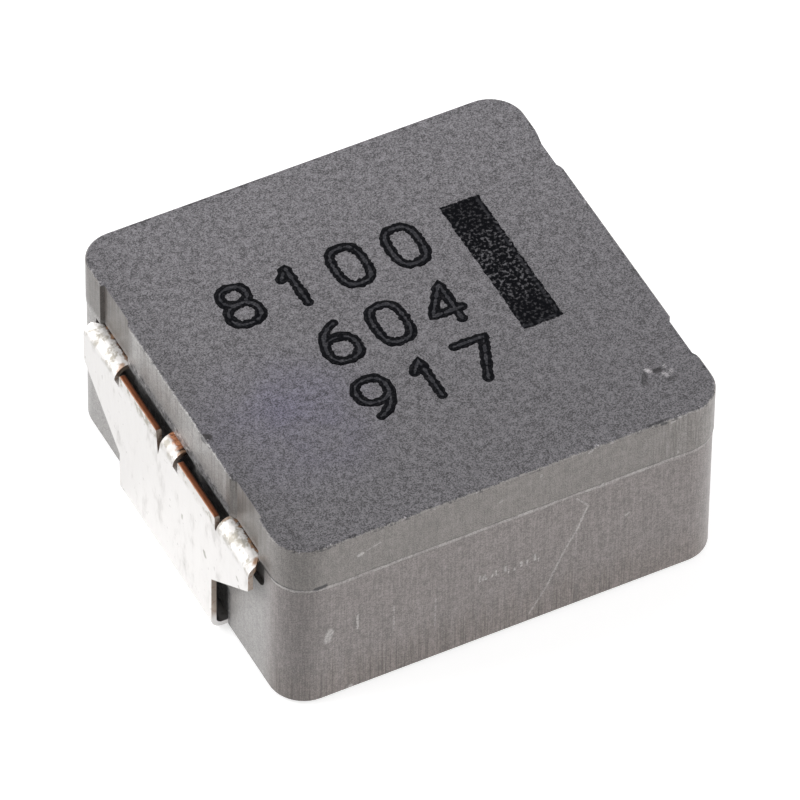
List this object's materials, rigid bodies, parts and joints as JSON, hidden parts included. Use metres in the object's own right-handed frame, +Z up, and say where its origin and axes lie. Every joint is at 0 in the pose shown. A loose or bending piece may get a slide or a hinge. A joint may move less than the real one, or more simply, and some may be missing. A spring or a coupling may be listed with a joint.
{
  "type": "shielded SMD inductor",
  "caption": "Moulded surface-mount power inductor: a square grey composite block with a tinned clip terminal folded under each end.",
  "frame": {"origin": "under the middle of the block, on the plane of the two solder pads", "axes": "+X from the left terminal to the right one, +Z up to the marked face"},
  "size_m": [0.0138, 0.0126, 0.006],
  "materials": {
    "composite": "matte",
    "tinned_copper": "satin",
    "enamelled_copper": "gloss"
  },
  "bodies": {
    "root": {"core_body": "composite", "winding": "enamelled_copper", "terminal_left": "tinned_copper", "terminal_right": "tinned_copper"}
  },
  "joints": []
}
